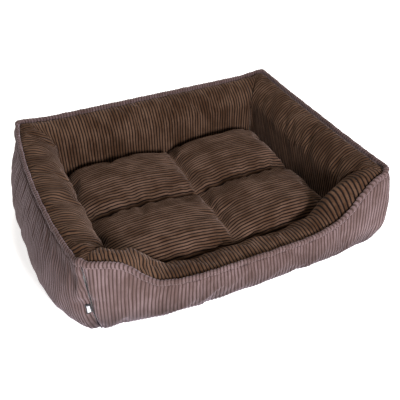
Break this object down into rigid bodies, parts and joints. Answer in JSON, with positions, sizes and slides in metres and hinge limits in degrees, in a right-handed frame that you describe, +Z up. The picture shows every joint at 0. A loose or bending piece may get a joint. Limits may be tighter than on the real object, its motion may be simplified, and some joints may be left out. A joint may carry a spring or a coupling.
{
  "type": "pet cushion bed",
  "caption": "Rectangular corduroy pet bed: stuffed rim with a dipped front entry, a loose quilted cushion, zipped covers and an anti-slip base.",
  "frame": {"origin": "on the floor, under the middle of the rim's top seam", "axes": "+X along the bed's length to the right, +Y towards the back wall, +Z up; the dipped entry faces -Y"},
  "size_m": [1.0577, 0.8125, 0.286],
  "materials": {
    "corduroy_outer": "matte",
    "corduroy_inner": "matte",
    "corduroy_cushion": "matte",
    "polyester_fill": "matte",
    "anti_slip_cloth": "matte",
    "lining_cloth": "matte",
    "label_ribbon": "satin",
    "zip_tape": "matte",
    "zip_coil": "satin",
    "zip_metal": "satin"
  },
  "bodies": {
    "rim": {"front_outer_panel": "corduroy_outer", "right_outer_panel": "corduroy_outer", "back_outer_panel": "corduroy_outer", "back_lower_strip": "corduroy_outer", "left_outer_panel": "corduroy_outer", "front_inner_panel": "corduroy_inner", "right_inner_panel": "corduroy_inner", "back_inner_panel": "corduroy_inner", "left_inner_panel": "corduroy_inner", "front_bolster_fill": "polyester_fill", "right_bolster_fill": "polyester_fill", "back_bolster_fill": "polyester_fill", "left_bolster_fill": "polyester_fill", "underside_sheet": "anti_slip_cloth", "base_pad": "polyester_fill", "base_lining": "lining_cloth", "side_label": "label_ribbon", "rim_zip_upper_tape": "zip_tape", "rim_zip_lower_tape": "zip_tape", "rim_zip_upper_coil": "zip_coil", "rim_zip_lower_coil": "zip_coil", "rim_zip_end_stops": "zip_metal"},
    "rim_zip_slider": {"rim_zip_slider": "zip_metal"},
    "rim_zip_pull": {"rim_zip_pull": "zip_metal"},
    "cushion": {"cushion_top_panel": "corduroy_cushion", "cushion_bottom_panel": "lining_cloth", "cushion_fill_front_left": "polyester_fill", "cushion_fill_front_right": "polyester_fill", "cushion_fill_back_left": "polyester_fill", "cushion_fill_back_right": "polyester_fill", "cushion_zip_upper_tape": "zip_tape", "cushion_zip_lower_tape": "zip_tape", "cushion_zip_upper_coil": "zip_coil", "cushion_zip_lower_coil": "zip_coil", "cushion_zip_end_stops": "zip_metal"},
    "cushion_zip_slider": {"cushion_zip_slider": "zip_metal"},
    "cushion_zip_pull": {"cushion_zip_pull": "zip_metal"}
  },
  "joints": [
    {"name": "cushion_lift", "type": "slide", "parent": "rim", "child": "cushion", "axis": [0, 0, 1], "range_m": [0, 0.3]},
    {"name": "rim_zip_run", "type": "slide", "parent": "rim", "child": "rim_zip_slider", "axis": [-1, 0, 0], "range_m": [0, 0.622]},
    {"name": "rim_zip_pull_swing", "type": "hinge", "parent": "rim_zip_slider", "child": "rim_zip_pull", "pos_m": [0.311, 0.41235, 0.08463], "axis": [0, 0, -1], "range_deg": [0, 170]},
    {"name": "cushion_zip_run", "type": "slide", "parent": "cushion", "child": "cushion_zip_slider", "axis": [-1, 0, 0], "range_m": [0, 0.462]},
    {"name": "cushion_zip_pull_swing", "type": "hinge", "parent": "cushion_zip_slider", "child": "cushion_zip_pull", "pos_m": [0.231, 0.2734, 0.0619], "axis": [0, 0, -1], "range_deg": [0, 4]}
  ]
}
